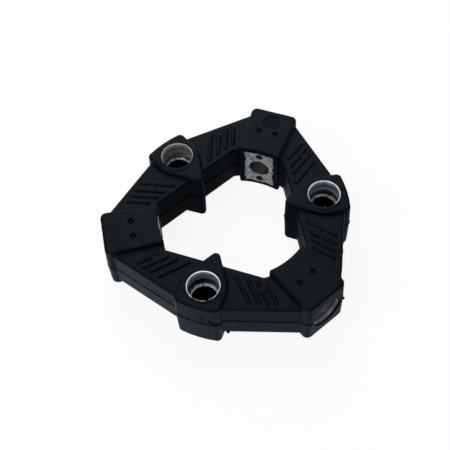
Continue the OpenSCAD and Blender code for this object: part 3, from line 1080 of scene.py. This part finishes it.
def seat_wall(tree, bush, ledge, mouth, seat_look):
    """Socket for the colour of a seat's wall, from its foot in painted shade to its bright rim."""
    shaded_share, tone, faintest, rim = seat_look
    rise = add_node(tree, "ShaderNodeMapRange", {
        "Value": bush["along"], "From Min": ledge * MM, "From Max": mouth * MM})
    depth = add_node(tree, "ShaderNodeValToRGB", {"Fac": rise.outputs["Result"]})
    steps = [
        (0.0, SEAT_SHADE_TONE), (shaded_share, SEAT_SHADE_TONE), (shaded_share + SEAT_SHADE_FADE, tone),
        (RIM_START, tone), (RIM_FULL, rim)]
    ramp = depth.color_ramp.elements
    for position, step_tone in steps[1:-1]:
        ramp.new(position)
    for element, (position, step_tone) in zip(ramp, steps):
        element.position = position
        element.color = linear(step_tone)
    streak = add_node(tree, "ShaderNodeMapRange", {
        "Value": bush["rings"], "From Min": STREAK_RANGE[0], "From Max": STREAK_RANGE[1],
        "To Min": faintest, "To Max": 1.0})
    blotch = add_node(tree, "ShaderNodeMapRange", {
        "Value": bush["stain"], "From Min": BLOTCH_RANGE[0], "From Max": BLOTCH_RANGE[1],
        "To Min": BLOTCH_FAINTEST, "To Max": 1.0})
    worn = add_node(tree, "ShaderNodeMath", {
        0: streak.outputs["Result"], 1: blotch.outputs["Result"]}, operation="MULTIPLY")
    wall = add_node(tree, "ShaderNodeMix", {
        "Factor": 1.0, "A": depth.outputs["Color"], "B": worn.outputs[0]},
        data_type="RGBA", blend_type="MULTIPLY")
    return wall.outputs["Result"]


def milled_flat(tree, bush, tones):
    """Socket for the colour of a flat face, which milling lines and stains make patchy."""
    scuffed = add_node(tree, "ShaderNodeMath", {0: bush["stain"], 1: bush["lines"]}, operation="ADD")
    patchy = add_node(tree, "ShaderNodeMapRange", {
        "Value": scuffed.outputs[0], "From Min": SCUFF_RANGE[0], "From Max": SCUFF_RANGE[1]})
    flat = add_node(tree, "ShaderNodeMix", {
        "Factor": patchy.outputs["Result"], "A": linear(tones[0]), "B": linear(tones[1])}, data_type="RGBA")
    return flat.outputs["Result"]


def foot_plate(tree, bush, colour, in_hole):
    """Socket for a bush's colour with pin holes in painted shade and a torn black film along its foot
    plate's edges.
    """
    below_face = add_node(tree, "ShaderNodeMath", {
        0: bush["along"], 1: (HUB_R + 2 * SKIN) * MM}, operation="GREATER_THAN")
    in_foot = add_node(tree, "ShaderNodeMath", {
        0: bush["along"], 1: (HUB_R + FOOT_T) * MM}, operation="LESS_THAN")
    sunk = add_node(tree, "ShaderNodeMath", {
        0: below_face.outputs[0], 1: in_foot.outputs[0]}, operation="MULTIPLY")
    in_pin = add_node(tree, "ShaderNodeMath", {0: sunk.outputs[0], 1: in_hole}, operation="GREATER_THAN")
    pin_shaded = add_node(tree, "ShaderNodeMix", {
        "Factor": in_pin.outputs[0], "A": colour, "B": linear(PIN_SHADE_TONE)}, data_type="RGBA")
    gaps = []
    for axis, width in (("Y", FOOT_W), ("Z", FOOT_H)):
        off_middle = add_node(tree, "ShaderNodeMath", {
            0: bush["apart"].outputs[axis]}, operation="ABSOLUTE")
        gaps.append(add_node(tree, "ShaderNodeMath", {
            0: width / 2 * MM, 1: off_middle.outputs[0]}, operation="SUBTRACT").outputs[0])
    to_edge = add_node(tree, "ShaderNodeMath", {0: gaps[0], 1: gaps[1]}, operation="MINIMUM")
    reach = add_node(tree, "ShaderNodeMapRange", {
        "Value": bush["stain"], "From Min": EDGE_FILM_RANGE[0], "From Max": EDGE_FILM_RANGE[1],
        "To Min": 0.0, "To Max": EDGE_FILM * MM})
    torn = add_node(tree, "ShaderNodeMath", {
        0: to_edge.outputs[0], 1: reach.outputs["Result"]}, operation="LESS_THAN")
    on_plate = add_node(tree, "ShaderNodeMath", {
        0: torn.outputs[0], 1: in_foot.outputs[0]}, operation="MULTIPLY")
    filmed = add_node(tree, "ShaderNodeMix", {
        "Factor": on_plate.outputs[0], "A": pin_shaded.outputs["Result"], "B": linear(EDGE_FILM_TONE)},
        data_type="RGBA")
    return filmed.outputs["Result"]


print("torn film up to", EDGE_FILM, "mm wide on the foot plates")

# %% [markdown]
# ## The finished metal
# One function puts the colours together. The distance from the axis and the distance along it tell the
# seat's wall, the narrow hole and the flats apart, so no face has to be picked by hand. The lines also
# drive the roughness and a faint bump, because a tool's marks catch the light.

# %% Bush metal
LINE_STRENGTH = 0.35
LINE_HEIGHT = 0.05
# Looks of a seat: share of its depth in painted shade, tone of its wall, faintest streak and tone of its
# rim.
AXIAL_SEATS = [
    (0.4, "#e2ecf5", 0.75, RIM_TONE),
    (0.2, "#d6e6f4", 0.45, RIM_TONE),
    (0.05, "#d2d4d5", 0.62, "#85888b"),
]
RADIAL_SEAT_LOOK = (0.05, "#e2e2e8", 0.3, RIM_TONE)
# Looks of the rest: darkest and lightest tone of the flats, darker tone of the hole as painted shade, and
# range of roughness.
AXIAL_LOOK = (("#64676a", "#b8bbbe"), "#0b0908", (0.38, 0.58))
RADIAL_LOOK = (("#a2a4a7", "#fbfbfb"), "#66635e", (0.42, 0.62))


def bush_aluminium(name, angle, upright, ledge, mouth, seat_look, look):
    """Metal of one bush, whose seat reaches from a ledge to a mouth along its axis."""
    flat_tones, hole_shade_tone, roughness = look
    tree, material, output = new_material(name)
    bush = bush_patterns(tree, angle, upright)
    wide = add_node(tree, "ShaderNodeMath", {
        0: bush["radius"], 1: (AXIAL_SEAT_R - SKIN) * MM}, operation="GREATER_THAN")
    raised = add_node(tree, "ShaderNodeMath", {
        0: bush["along"], 1: (ledge + SKIN) * MM}, operation="GREATER_THAN")
    in_seat = add_node(tree, "ShaderNodeMath", {
        0: wide.outputs[0], 1: raised.outputs[0]}, operation="MULTIPLY").outputs[0]
    open_metal = add_node(tree, "ShaderNodeMix", {
        "Factor": in_seat, "A": milled_flat(tree, bush, flat_tones),
        "B": seat_wall(tree, bush, ledge, mouth, seat_look)}, data_type="RGBA")
    # Painted shade: the narrow hole, and on an upright bush its chamfer too, is painted a darker tone.
    hole_mouth = AXIAL_HOLE_R + (HOLE_CHAMFER if upright else 0)
    in_hole = add_node(tree, "ShaderNodeMath", {
        0: bush["radius"], 1: (hole_mouth + SKIN) * MM}, operation="LESS_THAN").outputs[0]
    colour = add_node(tree, "ShaderNodeMix", {
        "Factor": in_hole, "A": open_metal.outputs["Result"], "B": linear(hole_shade_tone)},
        data_type="RGBA").outputs["Result"]
    if not upright:
        colour = foot_plate(tree, bush, colour, in_hole)
    grooves = add_node(tree, "ShaderNodeMix", {
        "Factor": in_seat, "A": bush["lines"], "B": bush["rings"]}).outputs["Result"]
    rough = add_node(tree, "ShaderNodeMapRange", {
        "Value": grooves, "To Min": roughness[0], "To Max": roughness[1]})
    bump = add_node(tree, "ShaderNodeBump", {
        "Height": grooves, "Strength": LINE_STRENGTH, "Distance": LINE_HEIGHT * MM})
    shader = add_node(tree, "ShaderNodeBsdfPrincipled", {
        "Base Color": colour, "Metallic": 1.0, "Roughness": rough.outputs["Result"],
        "Normal": bump.outputs["Normal"]})
    tree.links.new(shader.outputs["BSDF"], output.inputs["Surface"])
    return material


top = axial_high.z / MM
for k, sleeve in enumerate(axial_bushes):
    dress([sleeve], bush_aluminium(
        f"turned_aluminium_{k + 1}", AXIAL_ANGLES[k], True, top - AXIAL_SEAT_DEPTH, top,
        AXIAL_SEATS[k], AXIAL_LOOK))
for k, barrel in enumerate(radial_bushes):
    dress([barrel], bush_aluminium(
        f"milled_aluminium_{k + 1}", RADIAL_ANGLES[k], False, HUB_R + RADIAL_SEAT, BARREL_END,
        RADIAL_SEAT_LOOK, RADIAL_LOOK))
print("metal on", len(axial_bushes) + len(radial_bushes), "bushes")

# %% [markdown]
# ## Floor and backdrop
# The photograph has a plain white ground. The floor is a pale sheet. Rays from the camera, and those
# that come to the eye through gloss, see it mostly as plain white, so the ground stays white and a
# faint shadow stays under the ring. In the gloss the floor is shaded inside the ring and to its right,
# and black under the hollow bushes, as a floor under a dark object is.

# %% Floor
FLOOR_SIZE = 4.0
FLOOR_GAP = 0.02
FLOOR_TONE = "#f4f4f4"
WHITE = "#ffffff"
COOL_WHITE = "#dff2ff"
WHITE_SHARE = 0.9
# The floor's brightness in the gloss: distance in millimetres and share.
SHADE_INSIDE = (26.0, 0.2)
OPEN_OUTSIDE = (66.0, 1.0)
RIGHT_OPEN = (35.0, 1.0)
RIGHT_SHADE = (62.0, 0.5)


def seen_rays(tree, gloss_share):
    """1 for rays from the camera, and a share for those that come to the eye through gloss or glass."""
    path = add_node(tree, "ShaderNodeLightPath")
    mirrored = add_node(tree, "ShaderNodeMath", {
        0: path.outputs["Is Glossy Ray"], 1: path.outputs["Is Transmission Ray"]}, operation="MAXIMUM")
    weighed = add_node(tree, "ShaderNodeMath", {
        0: mirrored.outputs[0], 1: gloss_share}, operation="MULTIPLY")
    return add_node(tree, "ShaderNodeMath", {
        0: path.outputs["Is Camera Ray"], 1: weighed.outputs[0]}, operation="MAXIMUM").outputs[0]


def ring_shade(tree):
    """Socket for the floor's brightness in the gloss: shaded by the ring, and black under the bushes."""
    place = add_node(tree, "ShaderNodeTexCoord").outputs["Object"]
    radius = add_node(tree, "ShaderNodeVectorMath", {0: place}, operation="LENGTH")
    aside = add_node(tree, "ShaderNodeSeparateXYZ", {"Vector": place})
    shades = []
    for value, start, end in ((radius.outputs["Value"], SHADE_INSIDE, OPEN_OUTSIDE),
                              (aside.outputs["Y"], RIGHT_OPEN, RIGHT_SHADE)):
        shades.append(add_node(tree, "ShaderNodeMapRange", {
            "Value": value, "From Min": start[0] * MM, "From Max": end[0] * MM,
            "To Min": start[1], "To Max": end[1]}).outputs["Result"])
    for angle in AXIAL_ANGLES:
        away = add_node(tree, "ShaderNodeVectorMath", {
            0: place, 1: polar(PITCH_R, angle) * MM}, operation="DISTANCE")
        shades.append(add_node(tree, "ShaderNodeMath", {
            0: away.outputs["Value"], 1: BUSH_R * MM}, operation="GREATER_THAN").outputs[0])
    shade = shades[0]
    for other in shades[1:]:
        shade = add_node(tree, "ShaderNodeMath", {0: shade, 1: other}, operation="MULTIPLY").outputs[0]
    return shade


def pale_floor():
    """Pale paper that the camera sees almost as plain white."""
    tree, material, output = new_material("pale_floor")
    matte = add_node(tree, "ShaderNodeBsdfDiffuse", {"Color": linear(FLOOR_TONE)})
    to_camera = add_node(tree, "ShaderNodeLightPath").outputs["Is Camera Ray"]
    level = add_node(tree, "ShaderNodeMix", {"Factor": to_camera, "A": ring_shade(tree), "B": 1.0})
    paper = add_node(tree, "ShaderNodeMix", {
        "Factor": to_camera, "A": linear(COOL_WHITE), "B": linear(WHITE)}, data_type="RGBA")
    white = add_node(tree, "ShaderNodeEmission", {
        "Color": paper.outputs["Result"], "Strength": level.outputs["Result"]})
    share = add_node(tree, "ShaderNodeMath", {
        0: seen_rays(tree, 1.0), 1: WHITE_SHARE}, operation="MULTIPLY")
    blend = add_node(tree, "ShaderNodeMixShader", {
        0: share.outputs[0], 1: matte.outputs["BSDF"], 2: white.outputs["Emission"]})
    tree.links.new(blend.outputs["Shader"], output.inputs["Surface"])
    return material


clear_selection()
bpy.ops.mesh.primitive_plane_add(size=FLOOR_SIZE, location=(0, 0, -FLOOR_GAP * MM))
floor = bpy.context.object
floor.name = "floor"
dress([floor], pale_floor())
print("floor", FLOOR_SIZE, "m wide")

# %% [markdown]
# ## Light
# Black rubber is drawn by what it mirrors. A wide softbox behind the ring gives its upper faces their
# sheen, and a low one behind lights the inner walls. A softbox on the left and one in front model the
# sides, a small one on the right lifts the dark side, and a small lamp overhead sharpens the edges.
# Together they give a level at which a colour looks about as written. The sky is white for the camera,
# dimmer in the gloss, and weak as a light.

# %% Sky and lamps
SKY_SOFT = 0.08
SKY_PLAIN = 1.0
SKY_GLOSS = 0.35
LAMP_DISTANCE = 1.0
# Each lamp: name, azimuth, elevation, width and height in metres, and watts.
LAMPS = [
    ("left_softbox", radians(-45), radians(40), 0.35, 0.35, 2.5),
    ("back_softbox", radians(207), radians(56), 0.6, 0.6, 3.5),
    ("low_softbox", radians(210), radians(24), 1.1, 0.45, 3.6),
    ("front_softbox", radians(-12), radians(60), 0.3, 0.3, 2.6),
    ("right_strip", radians(122), radians(20), 0.2, 0.2, 1.2),
    ("top_lamp", radians(23), radians(83), 0.12, 0.12, 1.0),
]

world = bpy.data.worlds.new("studio")
bpy.context.scene.world = world
world.use_nodes = True
sky_tree = world.node_tree
sky_tree.nodes.clear()
sky_output = sky_tree.nodes.new("ShaderNodeOutputWorld")
soft = add_node(sky_tree, "ShaderNodeBackground", {"Color": linear(WHITE), "Strength": SKY_SOFT})
plain = add_node(sky_tree, "ShaderNodeBackground", {"Color": linear(WHITE), "Strength": SKY_PLAIN})
sky = add_node(sky_tree, "ShaderNodeMixShader", {
    0: seen_rays(sky_tree, SKY_GLOSS), 1: soft.outputs["Background"], 2: plain.outputs["Background"]})
sky_tree.links.new(sky.outputs["Shader"], sky_output.inputs["Surface"])

for name, azimuth, elevation, width, height, watts in LAMPS:
    lamp = bpy.data.lights.new(name, "AREA")
    lamp.energy = watts
    lamp.shape = "RECTANGLE"
    lamp.size = width
    lamp.size_y = height
    holder = bpy.data.objects.new(name, lamp)
    way = direction(azimuth, elevation)
    holder.location = way * LAMP_DISTANCE
    holder.rotation_euler = look_along(-way).to_euler()
    bpy.context.scene.collection.objects.link(holder)
print("lamps", [lamp[0] for lamp in LAMPS])

# %% [markdown]
# ## Hand over
# The picture is shown without any tone curve.

# %% Finish
bpy.context.scene.view_settings.view_transform = "Standard"
